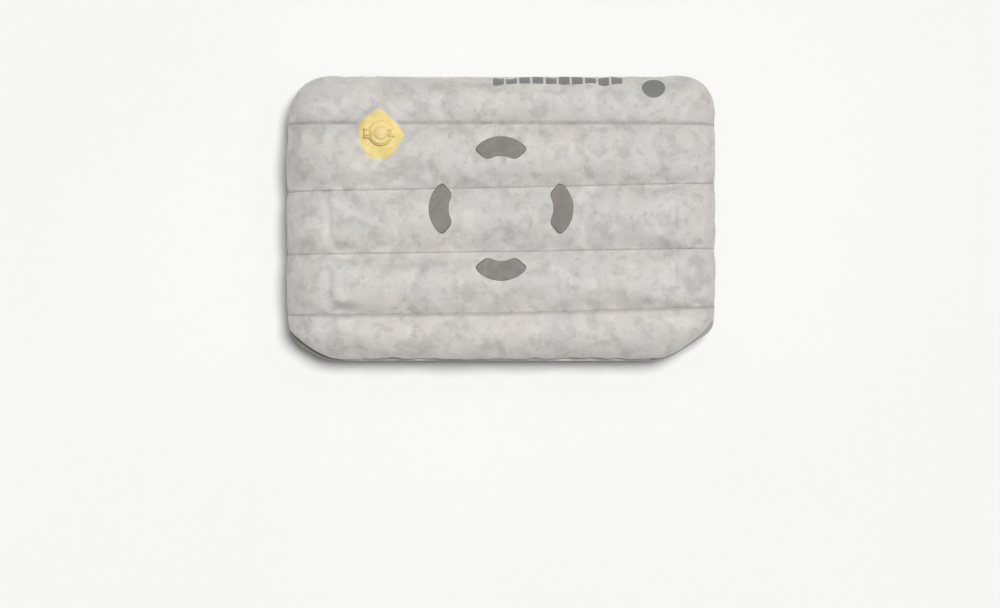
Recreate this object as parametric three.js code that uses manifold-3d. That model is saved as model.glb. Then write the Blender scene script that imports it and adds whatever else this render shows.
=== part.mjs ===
// Camp pillow: a foam-cored, self-inflating pillow of five cross channels, with a hinged two-stage
// valve and four grip patches on its upper face. Millimetres, +Z up, origin on the surface that the
// pillow rests on, under its middle. +Y points to the edge beside the valve.
import * as THREE from "three";
import { mergeVertices } from "three/addons/utils/BufferGeometryUtils.js";
import Module from "manifold-3d";

const wasm = await Module();
wasm.setup();

// ---- Driving dimensions ----------------------------------------------------------------------

const LENGTH = 420; // along X, weld flange included
const DEPTH = 280; // along Y, weld flange included
const THICKNESS = 100; // crown to crown
const CORNER = 47; // plan radius of the flange's corners
const FLANGE = 5; // width of the weld flange round the edge
const SKIN = 1.2; // thickness of a fabric panel
const GAP = 0.3; // between pieces that touch

const CHANNEL = 61.6; // pitch of the cross channels
const WELDS = [-1.5, -0.5, 0.5, 1.5].map((n) => n * CHANNEL); // y of the four weld lines
const WELD_DIP = 0.16; // how far a weld line dips, as a share of the height over the middle
const CROWN_FLAT = 0.33; // flat share of an inner channel's width
const SIDE_POWER = 2.2; // roundness of the side wall
const OUTER_DIP_RUN = 20; // how far a weld's dip reaches into an outer channel

const VALVE_X = -116.4;
const VALVE_Y = 82;
const SEAT_LEVEL = 46; // height of the flat under the valve, over the middle plane
const SEAT_FLAT_R = 17.5;
const SEAT_BLEND_R = 31;
const POCKET_MARGIN = 8; // how far the foam's room for the seat reaches past the blend

const PATCH_RING = { x: 0, y: 9, radius: 70 }; // the circle that the patches' outer edges touch
const PATCH = { width: 49, height: 24, outerRadius: 33, innerRadius: 31, innerWidth: 28.6 };
const PATCH_BACKING = 0.8;
const PATCH_PILE = 1.2;
const PILE_INSET = 0.95; // the pile's outline, as a share of the backing's
const TIP_START = 0.86; // share of each arc that is left before a patch's rounded outer tip
const HEEL_START = 0.8; // and before its rounded inner corner
const SIDE = { from: 0.2, to: 0.82 }; // straight part of a patch's slanted end

const FOAM_GAP = 0.4;
const FOAM_END = 9; // from the body's edge to the foam's ends
const BAFFLE_THICKNESS = 1;
const BAFFLE_REACH = 178; // half length, short of the side walls so that air passes round the ends

// The valve's own heights are over its seat, and its radii are from its axis.
const VALVE = {
  flangeTop: 1.3,
  flangeSpan: 45, // the flange film stays on the part of the panel past this y
  collarR: 12.4,
  collarTop: 3.8,
  boreR: 8,
  barrelR: 9,
  barrelDepth: 6,
  plugR: 10.8,
  plugTop: 6.3,
  plugUnder: 4.1,
  skirtInnerR: 4.6,
  skirtTipR: 6.2,
  skirtRootR: 7.2,
  skirtDepth: 0.5,
  grooveInnerR: 8.1,
  grooveOuterR: 10.2,
  grooveDepth: 1,
  gasketThickness: 0.7,
  portR: 3,
  flapR: 4,
  flapThickness: 0.8,
  capR: 6.4,
  capTop: 8,
  spigotR: 2.2, // the cap's plug in the port
  spigotRootR: 2.6,
  ringReach: 4.5, // of the backing ring past the barrel
  ringUnder: -3,
  edge: 0.5, // chamfer on the moulded rims
};
const FLANGE_CORNERS = [
  // [x, y, rounding] of the flange film's outline
  [-2, 28.5, 7],
  [-24.3, 11, 6],
  [-24.3, -11, 6],
  [-11.5, -27, 6],
  [8.5, -27, 6],
  [25.5, 0.5, 5],
];
const POCKET = { shallow: 3.4, deepMargin: 2.5, deep: 12 }; // the foam's room under the valve

// Hinges along Y: a knuckle between two ears, on a pin. knuckle, arm and ears are half widths.
const PLUG_HINGE = {
  x: -14.9,
  z: 4.75,
  knuckleR: 1.5,
  knuckle: 2.3,
  arm: 2.2,
  earR: 1.7,
  ears: [2.7, 4.7],
  holeR: 1,
  pinR: 0.7,
};
const CAP_HINGE = {
  x: 8.6,
  z: 7.4,
  knuckleR: 1.1,
  knuckle: 1.8,
  arm: 1.7,
  earR: 1.2,
  ears: [2.1, 3.5],
  holeR: 0.8,
  pinR: 0.5,
};
const PLUG_TAB = { from: 10.4, to: 14.2, half: 3, lift: 0.3, thickness: 1.3 };
const CAP_TAB = { from: -9.2, to: -5.8, half: 2.2, thickness: 1 };

const MID = THICKNESS / 2;
const BODY = {
  x: LENGTH / 2 - FLANGE,
  y: DEPTH / 2 - FLANGE,
  r: CORNER - FLANGE,
};
const STRAIGHT_X = BODY.x - BODY.r;
const STRAIGHT_Y = BODY.y - BODY.r;

// ---- Materials -------------------------------------------------------------------------------

const finish = (color, roughness) => new THREE.MeshStandardMaterial({ color, roughness, metalness: 0 });
const FABRIC = finish(0xcfcdc9, 0.85);
const BASE_FABRIC = finish(0x9c9c98, 0.88);
const FOAM = finish(0xe9e4d2, 0.95);
const BAFFLE = finish(0xdedcd6, 0.8);
const PATCH_FILM = finish(0x6f6d68, 0.6);
const PATCH_TEXTILE = finish(0x8a8780, 0.95);
const VALVE_YELLOW = finish(0xe3c96f, 0.55);
const VALVE_AMBER = finish(0xd8b45c, 0.5);
const SILICONE = finish(0xd9d7d0, 0.4);
const PIN = finish(0x8d8f91, 0.35);

// ---- Solids ----------------------------------------------------------------------------------

// A closed geometry as a manifold-3d solid, turned outwards if its faces point in.
function solid(geometry) {
  const bare = geometry.clone();
  bare.deleteAttribute("normal");
  bare.deleteAttribute("uv");
  const merged = mergeVertices(bare, 1e-4);
  const index = merged.index.array;
  const corners = [];
  for (let i = 0; i < index.length; i += 3) {
    const [a, b, c] = [index[i], index[i + 1], index[i + 2]];
    if (a !== b && b !== c && c !== a) corners.push(a, b, c);
  }
  const vertProperties = merged.attributes.position.array;
  const make = (list) =>
    new wasm.Manifold(new wasm.Mesh({ numProp: 3, vertProperties, triVerts: new Uint32Array(list) }));
  const made = make(corners);
  return made.volume() > 0 ? made : make(corners.reverse());
}

function geometryOf(made) {
  const mesh = made.getMesh();
  const geometry = new THREE.BufferGeometry();
  geometry.setAttribute("position", new THREE.BufferAttribute(new Float32Array(mesh.vertProperties), 3));
  geometry.setIndex(new THREE.BufferAttribute(new Uint32Array(mesh.triVerts), 1));
  geometry.computeVertexNormals();
  return geometry;
}

function box(x0, x1, y0, y1, z0, z1) {
  const geometry = new THREE.BoxGeometry(x1 - x0, y1 - y0, z1 - z0);
  return solid(geometry.translate((x0 + x1) / 2, (y0 + y1) / 2, (z0 + z1) / 2));
}

// An upright cylinder on the Z axis.
function disc(radius, z0, z1, sides = 32) {
  const geometry = new THREE.CylinderGeometry(radius, radius, z1 - z0, sides).rotateX(Math.PI / 2);
  return solid(geometry.translate(0, 0, (z0 + z1) / 2));
}

// A cylinder along Y, centred on the XZ plane at a hinge.
function rod(hinge, radius, halfLength, sides = 16) {
  const geometry = new THREE.CylinderGeometry(radius, radius, 2 * halfLength, sides);
  return solid(geometry.translate(hinge.x, 0, hinge.z));
}

// A ring turned about Z from a closed profile of [radius, height] corners.
function turned(profile, sides = 32) {
  const points = [...profile, profile[0]].map(([r, z]) => new THREE.Vector2(r, z));
  return solid(new THREE.LatheGeometry(points, sides).rotateX(Math.PI / 2));
}

function prism(shape, z0, z1) {
  const settings = { depth: z1 - z0, bevelEnabled: false, curveSegments: 8 };
  const geometry = new THREE.ExtrudeGeometry(shape, settings);
  return solid(geometry.translate(0, 0, z0));
}

// A polygon of [x, y, rounding] corners as a shape with rounded corners.
function roundedPolygon(corners) {
  const shape = new THREE.Shape();
  corners.forEach(([x, y, rounding], i) => {
    const here = new THREE.Vector2(x, y);
    const towards = (other) => {
      const step = new THREE.Vector2(other[0], other[1]).sub(here);
      return here.clone().add(step.setLength(rounding));
    };
    const from = towards(corners[(i + corners.length - 1) % corners.length]);
    const to = towards(corners[(i + 1) % corners.length]);
    if (i) shape.lineTo(from.x, from.y);
    else shape.moveTo(from.x, from.y);
    shape.quadraticCurveTo(x, y, to.x, to.y);
  });
  return shape.closePath();
}

// ---- The inflated body -----------------------------------------------------------------------

// Share of the height that a weld line takes away at y.
function dip(y) {
  const outerWeld = WELDS[3];
  if (Math.abs(y) > outerWeld) {
    const left = Math.max(0, 1 - (Math.abs(y) - outerWeld) / OUTER_DIP_RUN);
    return WELD_DIP * left * left;
  }
  const across = Math.abs(y / CHANNEL - Math.round(y / CHANNEL)) * 2;
  return WELD_DIP * Math.max(0, (across ** 2 - CROWN_FLAT ** 2) / (1 - CROWN_FLAT ** 2));
}

// Distance in from the rounded outline, which is shrunk by inset.
function fromEdge(x, y, inset) {
  const [outX, outY] = [Math.abs(x) - STRAIGHT_X, Math.abs(y) - STRAIGHT_Y];
  if (outX > 0 && outY > 0) return BODY.r - inset - Math.hypot(outX, outY);
  return BODY.r - inset - Math.max(outX, outY, 0);
}

// Height of the body's skin over the middle plane, for a body shrunk by inset all round.
function rise(x, y, inset) {
  const inwards = Math.min(1, Math.max(0, fromEdge(x, y, inset) / BODY.r));
  const wall = (1 - (1 - inwards) ** SIDE_POWER) ** (1 / SIDE_POWER);
  return (MID - inset) * wall * (1 - dip(y));
}

// The same with the flat that the valve sits on.
function riseWithSeat(x, y, inset) {
  const away = Math.hypot(x - VALVE_X, y - VALVE_Y);
  const blend = THREE.MathUtils.smoothstep(away, SEAT_FLAT_R, SEAT_BLEND_R);
  return THREE.MathUtils.lerp(SEAT_LEVEL - inset, rise(x, y, inset), blend);
}

// Grid lines: plain values over the straight part, and shares of the corner radius past it.
const mirrored = (list) => [...list.map((v) => -v).reverse(), ...list];

function weldRows(shares, extra = []) {
  const rows = new Set(extra);
  for (const centre of [-CHANNEL, 0, CHANNEL])
    for (const share of mirrored(shares)) rows.add(centre + (share * CHANNEL) / 2);
  return [...rows].sort((a, b) => a - b);
}

const RIM = [0.25, 0.52, 0.76, 0.93, 1];

// The fine grid is closer round the valve's seat, at these distances from its axis.
const SEAT_STEPS = [SEAT_FLAT_R, SEAT_FLAT_R + 5, SEAT_BLEND_R];
const FINE = {
  columns: [-STRAIGHT_X, ...mirrored([8, ...SEAT_STEPS]).map((step) => VALVE_X + step), STRAIGHT_X],
  rows: weldRows([CROWN_FLAT, 0.6, 0.82, 1], SEAT_STEPS.slice(0, 2).map((step) => VALVE_Y - step)),
};
const COARSE = {
  columns: [-STRAIGHT_X, STRAIGHT_X],
  rows: weldRows([CROWN_FLAT, 0.68, 1]),
};

// Plan points of a grid's column and row numbers, on an outline shrunk by inset.
function planOf(grid, inset) {
  const radius = BODY.r - inset;
  const line = (core, straight) => [
    ...RIM.map((share) => ({ at: -straight, rim: -share })).reverse(),
    ...core.map((at) => ({ at, rim: 0 })),
    ...RIM.map((share) => ({ at: straight, rim: share })),
  ];
  const columns = line(grid.columns, STRAIGHT_X);
  const rows = line(grid.rows, STRAIGHT_Y);
  return columns.map((c) => {
    const room = Math.sqrt(1 - c.rim ** 2);
    return rows.map((r) => [c.at + c.rim * radius, r.at + r.rim * room * radius]);
  });
}

// A closed solid between an upper and a lower height over the middle plane.
function between(plan, upper, lower) {
  const positions = [];
  const push = (p, z) => positions.push(p[0], p[1], MID + z);
  const quad = (a, b, c, d, height) => {
    for (const p of [a, b, c, a, c, d]) push(p, height(p[0], p[1]));
  };
  const [nx, ny] = [plan.length - 1, plan[0].length - 1];
  for (let i = 0; i < nx; i++)
    for (let j = 0; j < ny; j++) {
      const [a, b, c, d] = [plan[i][j], plan[i + 1][j], plan[i + 1][j + 1], plan[i][j + 1]];
      quad(a, b, c, d, upper);
      quad(a, d, c, b, lower);
    }
  const wall = (p, q) => {
    const [pu, qu, pl, ql] = [upper(...p), upper(...q), lower(...p), lower(...q)];
    [[p, pl], [q, ql], [q, qu], [p, pl], [q, qu], [p, pu]].forEach(([at, z]) => push(at, z));
  };
  for (let i = 0; i < nx; i++) {
    wall(plan[i][0], plan[i + 1][0]);
    wall(plan[i + 1][ny], plan[i][ny]);
  }
  for (let j = 0; j < ny; j++) {
    wall(plan[nx][j], plan[nx][j + 1]);
    wall(plan[0][j + 1], plan[0][j]);
  }
  const geometry = new THREE.BufferGeometry();
  geometry.setAttribute("position", new THREE.Float32BufferAttribute(positions, 3));
  return solid(geometry);
}

function dome(grid, inset, height) {
  return between(planOf(grid, inset), (x, y) => height(x, y, inset), () => 0);
}

function outline(halfX, halfY, radius) {
  const shape = new THREE.Shape();
  shape.absarc(halfX - radius, halfY - radius, radius, 0, Math.PI / 2);
  shape.absarc(radius - halfX, halfY - radius, radius, Math.PI / 2, Math.PI);
  shape.absarc(radius - halfX, radius - halfY, radius, Math.PI, 1.5 * Math.PI);
  shape.absarc(halfX - radius, radius - halfY, radius, 1.5 * Math.PI, 2 * Math.PI);
  return shape;
}

// One fabric panel, as an open dish over the middle plane with its half of the weld flange.
function panel(grid, height) {
  const flange = prism(outline(LENGTH / 2, DEPTH / 2, CORNER), MID + GAP / 2, MID + GAP / 2 + SKIN);
  const room = box(-LENGTH, LENGTH, -DEPTH, DEPTH, MID + GAP / 2, THICKNESS + MID);
  return dome(grid, 0, height).add(flange).intersect(room).subtract(dome(grid, SKIN, height));
}

function turnedOver(made) {
  return solid(geometryOf(made).rotateX(Math.PI).translate(0, 0, THICKNESS));
}

// ---- What the shell holds --------------------------------------------------------------------

const inValve = (made) => made.translate([VALVE_X, VALVE_Y, MID + SEAT_LEVEL]);

// Room in the foam and in the nearest baffle for the valve's seat and barrel.
function valvePocket() {
  const shallow = disc(SEAT_BLEND_R + POCKET_MARGIN, -POCKET.shallow, MID);
  const deep = disc(VALVE.barrelR + POCKET.deepMargin, -POCKET.deep, MID);
  return inValve(shallow.add(deep));
}

function fillings() {
  const half = dome(COARSE, SKIN + FOAM_GAP, rise);
  const core = half.add(turnedOver(half)).subtract(valvePocket());
  const [reach, outer] = [BODY.x - FOAM_END, BODY.y - FOAM_END];
  const clear = BAFFLE_THICKNESS / 2 + GAP;
  const starts = [-outer, ...WELDS.map((y) => y + clear)];
  const ends = [...WELDS.map((y) => y - clear), outer];
  const bars = starts.map((from, i) => core.intersect(box(-reach, reach, from, ends[i], 0, THICKNESS)));
  const baffles = WELDS.map((y) => {
    const [from, to] = [y - BAFFLE_THICKNESS / 2, y + BAFFLE_THICKNESS / 2];
    return core.intersect(box(-BAFFLE_REACH, BAFFLE_REACH, from, to, 0, THICKNESS));
  });
  return { bars, baffles };
}

// ---- Pieces on the upper face ----------------------------------------------------------------

// A layer that follows the upper panel, from lift to lift plus thickness over it.
function layer(lines, lift, thickness) {
  const plan = lines.columns.map((x) => lines.rows.map((y) => [x, y]));
  const over = (extra) => (x, y) => riseWithSeat(x, y, 0) + lift + extra;
  return between(plan, over(thickness), over(0));
}

// A grip patch's outline, with its outer edge on the ring's top: an arched band with slanted ends.
function patchOutline(share) {
  const half = (PATCH.width / 2) * share;
  const inner = (PATCH.innerWidth / 2) * share;
  const margin = (PATCH.height * (1 - share)) / 2;
  const outerY = PATCH_RING.radius - margin - PATCH.outerRadius;
  const innerY = PATCH_RING.radius - PATCH.height + margin - Math.sqrt(PATCH.innerRadius ** 2 - inner ** 2);
  const onArc = (radius, centreY, x) => new THREE.Vector2(x, centreY + Math.sqrt(radius ** 2 - x ** 2));
  const tip = onArc(PATCH.outerRadius, outerY, half);
  const heel = onArc(PATCH.innerRadius, innerY, inner);
  const end = tip.clone().lerp(heel, SIDE.from);
  const beforeHeel = tip.clone().lerp(heel, SIDE.to);
  const outerEnd = Math.asin((half * TIP_START) / PATCH.outerRadius);
  const innerEnd = Math.asin((inner * HEEL_START) / PATCH.innerRadius);
  const [up, left] = [Math.PI / 2, new THREE.Vector2(-1, 1)];
  const shape = new THREE.Shape();
  shape.absarc(0, outerY, PATCH.outerRadius, up - outerEnd, up + outerEnd);
  const turnTip = (at, to) => shape.quadraticCurveTo(at.x, at.y, to.x, to.y);
  turnTip(tip.clone().multiply(left), end.clone().multiply(left));
  shape.lineTo(-beforeHeel.x, beforeHeel.y);
  turnTip(heel.clone().multiply(left), onArc(PATCH.innerRadius, innerY, -inner * HEEL_START));
  shape.absarc(0, innerY, PATCH.innerRadius, up + innerEnd, up - innerEnd, true);
  turnTip(heel, beforeHeel);
  shape.lineTo(end.x, end.y);
  turnTip(tip, onArc(PATCH.outerRadius, outerY, half * TIP_START));
  return shape;
}

function patch(turn, share, lift, thickness) {
  const rows = FINE.rows.filter((y) => Math.abs(y) < CHANNEL * 1.5 - GAP);
  const cloth = layer({ columns: FINE.columns.slice(-2), rows }, lift, thickness);
  const cutter = prism(patchOutline(share), 0, 2 * THICKNESS).rotate([0, 0, turn]);
  return cloth.intersect(cutter.translate([PATCH_RING.x, PATCH_RING.y, 0]));
}

function valveFlange() {
  const rim = RIM.slice(0, 2).map((share) => STRAIGHT_Y + share * BODY.r);
  const columns = FINE.columns.slice(1, -1);
  const rows = [...FINE.rows.filter((y) => y > VALVE.flangeSpan), STRAIGHT_Y, ...rim];
  const film = layer({ columns, rows }, GAP, VALVE.flangeTop - GAP);
  const hole = disc(VALVE.barrelR + GAP, -MID, MID);
  const cutter = prism(roundedPolygon(FLANGE_CORNERS), -MID, MID).subtract(hole);
  return film.intersect(inValve(cutter));
}

// ---- Valve, modelled about its own axis with z from the seat flat ------------------------------

const hingeHole = (hinge) => rod(hinge, hinge.holeR, 2 * VALVE.barrelR);
const hingePin = (hinge) => rod(hinge, hinge.pinR, hinge.ears[1]);
const knuckle = (hinge) => rod(hinge, hinge.knuckleR, hinge.knuckle);

// Two hinge ears outside a knuckle, joined down to a base between two x values.
function ears(hinge, [from, to], baseZ) {
  const [inner, outer] = hinge.ears;
  const room = 2 * hinge.earR;
  const whole = rod(hinge, hinge.earR, outer).add(box(from, to, -outer, outer, baseZ, hinge.z));
  const slot = box(hinge.x - room, hinge.x + room, -inner, inner, baseZ - 1, hinge.z + room);
  return whole.subtract(slot);
}

function valveSeat() {
  const v = VALVE;
  const under = v.flangeTop + GAP;
  const ring = turned([
    [v.boreR, -v.barrelDepth],
    [v.barrelR, -v.barrelDepth],
    [v.barrelR, under],
    [v.collarR, under],
    [v.collarR, v.collarTop - v.edge],
    [v.collarR - v.edge, v.collarTop],
    [v.boreR, v.collarTop],
  ]);
  const foot = [PLUG_HINGE.x - PLUG_HINGE.earR, GAP + v.edge - v.collarR];
  const lugs = ears(PLUG_HINGE, foot, under);
  const overCollar = disc(v.collarR - v.edge, v.collarTop, 2 * v.capTop);
  return ring.add(lugs).subtract(overCollar).subtract(hingeHole(PLUG_HINGE));
}

function dumpPlug() {
  const v = VALVE;
  const grooveTop = v.plugUnder + v.grooveDepth;
  const ring = turned([
    [v.portR, v.plugTop],
    [v.portR, v.plugUnder],
    [v.skirtInnerR, v.plugUnder],
    [v.skirtInnerR, -v.skirtDepth],
    [v.skirtTipR, -v.skirtDepth],
    [v.skirtRootR, v.plugUnder],
    [v.grooveInnerR, v.plugUnder],
    [v.grooveInnerR, grooveTop],
    [v.grooveOuterR, grooveTop],
    [v.grooveOuterR, v.plugUnder],
    [v.plugR, v.plugUnder],
    [v.plugR, v.plugTop - v.edge],
    [v.plugR - v.edge, v.plugTop],
  ]);
  const strap = PLUG_TAB.thickness;
  const half = PLUG_HINGE.arm;
  const arm = box(PLUG_HINGE.x, v.edge - v.plugR, -half, half, v.plugUnder, v.plugUnder + strap);
  const tabUnder = v.plugUnder + PLUG_TAB.lift;
  const tab = box(PLUG_TAB.from, PLUG_TAB.to, -PLUG_TAB.half, PLUG_TAB.half, tabUnder, tabUnder + strap);
  const foot = [CAP_HINGE.x - CAP_HINGE.earR, CAP_HINGE.x + CAP_HINGE.earR];
  const lugs = ears(CAP_HINGE, foot, v.plugTop - GAP);
  const whole = ring.add(arm).add(knuckle(PLUG_HINGE)).add(tab).add(lugs);
  return whole.subtract(hingeHole(PLUG_HINGE)).subtract(hingeHole(CAP_HINGE));
}

function dumpGasket() {
  const v = VALVE;
  const [inner, outer] = [v.grooveInnerR + GAP, v.grooveOuterR - GAP];
  const top = v.plugUnder + v.gasketThickness;
  return turned([
    [inner, v.plugUnder],
    [outer, v.plugUnder],
    [outer, top],
    [inner, top],
  ]);
}

function oneWayFlap() {
  const top = VALVE.plugUnder - GAP;
  return disc(VALVE.flapR, top - VALVE.flapThickness, top, 24);
}

function inflateCap() {
  const v = VALVE;
  const under = v.plugTop + GAP;
  const spigotEnd = v.plugUnder + GAP;
  const knob = turned([
    [0, spigotEnd],
    [v.spigotR, spigotEnd],
    [v.spigotRootR, under],
    [v.capR, under],
    [v.capR, v.capTop - v.edge],
    [v.capR - v.edge, v.capTop],
    [0, v.capTop],
  ]);
  const half = CAP_HINGE.arm;
  const arm = box(v.capR - 2 * v.edge, CAP_HINGE.x, -half, half, under, CAP_HINGE.z + v.edge);
  const tab = box(CAP_TAB.from, CAP_TAB.to, -CAP_TAB.half, CAP_TAB.half, under, under + CAP_TAB.thickness);
  return knob.add(arm).add(knuckle(CAP_HINGE)).add(tab).subtract(hingeHole(CAP_HINGE));
}

function backingRing() {
  const [inner, outer] = [VALVE.barrelR + GAP, VALVE.barrelR + VALVE.ringReach];
  return turned([
    [inner, VALVE.ringUnder],
    [outer, VALVE.ringUnder],
    [outer, -SKIN - GAP],
    [inner, -SKIN - GAP],
  ]);
}

// ---- Assembly --------------------------------------------------------------------------------

const pillow = new THREE.Group();

function piece(name, made, material) {
  const mesh = new THREE.Mesh(geometryOf(made), material);
  mesh.name = name;
  pillow.add(mesh);
}

const holeForBarrel = inValve(disc(VALVE.barrelR + GAP, -MID, MID));
piece("top_panel", panel(FINE, riseWithSeat).subtract(holeForBarrel), FABRIC);
piece("bottom_panel", turnedOver(panel(COARSE, rise)), BASE_FABRIC);

const { bars, baffles } = fillings();
bars.forEach((bar, i) => piece(`foam_core_${i + 1}`, bar, FOAM));
baffles.forEach((baffle, i) => piece(`baffle_${i + 1}`, baffle, BAFFLE));

Object.entries({ back: 0, left: 90, front: 180, right: 270 }).forEach(([side, turn]) => {
  piece(`patch_backing_${side}`, patch(turn, 1, GAP, PATCH_BACKING), PATCH_FILM);
  const lift = 2 * GAP + PATCH_BACKING;
  piece(`patch_pile_${side}`, patch(turn, PILE_INSET, lift, PATCH_PILE), PATCH_TEXTILE);
});

piece("valve_flange", valveFlange(), VALVE_YELLOW);
piece("valve_seat", inValve(valveSeat()), VALVE_AMBER);
piece("valve_backing_ring", inValve(backingRing()), VALVE_AMBER);
piece("dump_hinge_pin", inValve(hingePin(PLUG_HINGE)), PIN);
piece("dump_plug", inValve(dumpPlug()), VALVE_YELLOW);
piece("dump_gasket", inValve(dumpGasket()), SILICONE);
piece("one_way_flap", inValve(oneWayFlap()), SILICONE);
piece("cap_hinge_pin", inValve(hingePin(CAP_HINGE)), PIN);
piece("inflate_cap", inValve(inflateCap()), VALVE_AMBER);

export default pillow;
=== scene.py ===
"""Camp pillow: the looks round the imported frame. Metres, +Z up, in the frame's own axes."""

import math
import random
from contextlib import contextmanager

import bmesh
import bpy
import numpy as np
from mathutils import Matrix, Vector, noise
from mathutils.bvhtree import BVHTree

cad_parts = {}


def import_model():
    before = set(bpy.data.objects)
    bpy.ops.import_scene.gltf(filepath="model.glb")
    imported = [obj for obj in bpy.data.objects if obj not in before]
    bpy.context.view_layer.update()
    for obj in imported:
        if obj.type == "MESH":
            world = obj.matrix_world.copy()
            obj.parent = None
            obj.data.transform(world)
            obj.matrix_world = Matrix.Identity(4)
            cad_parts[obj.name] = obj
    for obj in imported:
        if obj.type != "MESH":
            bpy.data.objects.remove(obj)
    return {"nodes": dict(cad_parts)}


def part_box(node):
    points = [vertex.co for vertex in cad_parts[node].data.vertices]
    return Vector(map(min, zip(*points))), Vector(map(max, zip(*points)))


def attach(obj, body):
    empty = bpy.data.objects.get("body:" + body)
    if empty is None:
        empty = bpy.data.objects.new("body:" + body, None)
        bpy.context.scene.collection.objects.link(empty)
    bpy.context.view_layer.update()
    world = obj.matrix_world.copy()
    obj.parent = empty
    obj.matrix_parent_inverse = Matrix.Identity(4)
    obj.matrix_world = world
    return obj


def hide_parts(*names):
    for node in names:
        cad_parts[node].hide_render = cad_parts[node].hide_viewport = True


MM = 0.001
TINY = 1e-12  # the least length that anything is divided by
MERGE = 0.001 * MM  # vertices this close are one

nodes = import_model()["nodes"]
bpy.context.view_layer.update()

# ---- Sizes, read from the frame ----

HALF_X, HALF_Y, TOP_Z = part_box("top_panel")[1]
SEAM_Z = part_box("bottom_panel")[1].z
BAFFLES = ["baffle_1", "baffle_2", "baffle_3", "baffle_4"]
WELD_Y = [(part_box(name)[0].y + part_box(name)[1].y) / 2 for name in BAFFLES]
WELD_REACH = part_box("baffle_1")[1].x
CHANNEL = WELD_Y[1] - WELD_Y[0]
RING_LOW, RING_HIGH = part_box("valve_backing_ring")
VALVE = (RING_LOW.xy + RING_HIGH.xy) / 2
BARREL_RADIUS = (RING_HIGH.x - RING_LOW.x) / 2 - 4.5 * MM  # inside the ring, which is 4.5 mm wide
FABRIC_HOLE = BARREL_RADIUS + 0.3 * MM
FILM_HOLE = BARREL_RADIUS + 0.4 * MM
SEAT_Z = RING_HIGH.z + 1.5 * MM  # the ring is clamped 1.5 mm below the fabric's face
PATCH_SIDES = {"right": 0, "back": 90, "left": 180, "front": 270}  # degrees round the patch ring
PATCH_RADIUS = (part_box("patch_backing_right")[1].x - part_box("patch_backing_left")[0].x) / 2
PATCH_CENTRE = Vector((0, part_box("patch_backing_back")[1].y - PATCH_RADIUS))

# ---- The inflated body ----

SEAM_INSET = 6 * MM  # from the CAD box to the seam, for the flange
FRONT_SETBACK = 1.5 * MM  # the front wall stands this much further back
CORNER = 42 * MM
SQUARENESS = 0.05
BACK_RIGHT_SQUARENESS = 0.13
SIDE_POWER = 2.2
BULGE = 0.12  # how far the wall stands out past the seam, as a share of the rim
BULGE_POWER = 0.7  # under 1, the wall is widest nearer to the seam
CELL = 4.6 * MM
RIM_STEPS = 15
ROWS_PER_CHANNEL = 14
CREASE = 1.7 * MM  # distance from a weld line to the rows beside it
WELD_END = 196 * MM  # how far out a weld line still holds the fabric down
WELD_DIP = 0.225
CROWN_START = 1.8 * MM  # the crown starts this much low, because it swells
DIP_POWER = 2.0
DIP_RUN = 26 * MM  # how far a weld line draws an outer channel down
CHAMFER_NORMAL = Vector((0.527, -0.85))
CHAMFER = 201.5 * MM  # distance of the front corners' chamfer from the middle
CHAMFER_SKEW = 2 * MM  # the left one is this much further out, the right one further in
CHAMFER_SOFT = 3 * MM  # how gently the outline turns into a chamfer
SEAT_FLAT = 17.5 * MM  # radius of the flat that the valve sits on
SEAT_BLEND = 31 * MM  # radius where the fabric is free of the valve

# Each weld line's y at its left end, middle and right end, in mm off the frame's straight line.
WELD_WANDER = [(-1.6, 0.2, 6.5), (-4.6, -1.8, 1.6), (-5.0, -1.2, 3.4), (-0.8, -1.0, -1.4)]


def smooth(share):
    """A share from 0 to 1, eased at both ends."""
    share = min(max(share, 0.0), 1.0)
    return share * share * (3 - 2 * share)


def grid_lines():
    """Column and row values as (straight part, share of the rim), from one edge to the other."""
    straight_x = HALF_X - SEAM_INSET - CORNER
    count = 2 * round(straight_x / CELL)
    rim = [step / RIM_STEPS for step in range(1, RIM_STEPS + 1)]
    core_x = [straight_x * (2 * i / count - 1) for i in range(count + 1)]
    core_y = []
    for low, high in zip(WELD_Y, WELD_Y[1:]):
        inner = np.linspace(low, high, ROWS_PER_CHANNEL + 1)[1:-1]
        core_y += [low, low + CREASE, *inner, high - CREASE]
    core_y.append(WELD_Y[-1])

    def line(core):
        before = [(core[0], -share) for share in reversed(rim)]
        return before + [(at, 0) for at in core] + [(core[-1], share) for share in rim]

    return line(core_x), line(core_y)


COLUMNS, ROWS = grid_lines()
NX, NY = len(COLUMNS), len(ROWS)
RIM_X, RIM_Y = CORNER, HALF_Y - SEAM_INSET - WELD_Y[-1]
WELD_ROWS = [j for j, (y, t) in enumerate(ROWS) if t == 0 and y in WELD_Y]


def on_seam(i, j):
    """Whether a grid place is on the seam."""
    return i in (0, NX - 1) or j in (0, NY - 1)


def grid_faces(numbers, flipped=False):
    """The quads of a grid of vertex numbers."""
    found = []
    for i in range(numbers.shape[0] - 1):
        for j in range(numbers.shape[1] - 1):
            quad = [numbers[i, j], numbers[i + 1, j], numbers[i + 1, j + 1], numbers[i, j + 1]]
            found.append([int(n) for n in (quad[::-1] if flipped else quad)])
    return found


def edge_loop(columns, rows):
    """The edge places of a grid in order, anticlockwise."""
    half = [(i, 0) for i in range(columns - 1)] + [(columns - 1, j) for j in range(rows - 1)]
    return half + [(columns - 1 - i, rows - 1 - j) for i, j in half]


def rim_depth(t):
    """The plan depth of the body's rim: a little less along the front."""
    return RIM_Y - (FRONT_SETBACK if t < 0 else 0)


def corner_share(s, t):
    """A square's point mapped onto the quarter disc."""
    return s * math.sqrt(1 - t * t / 2), t * math.sqrt(1 - s * s / 2)


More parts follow.
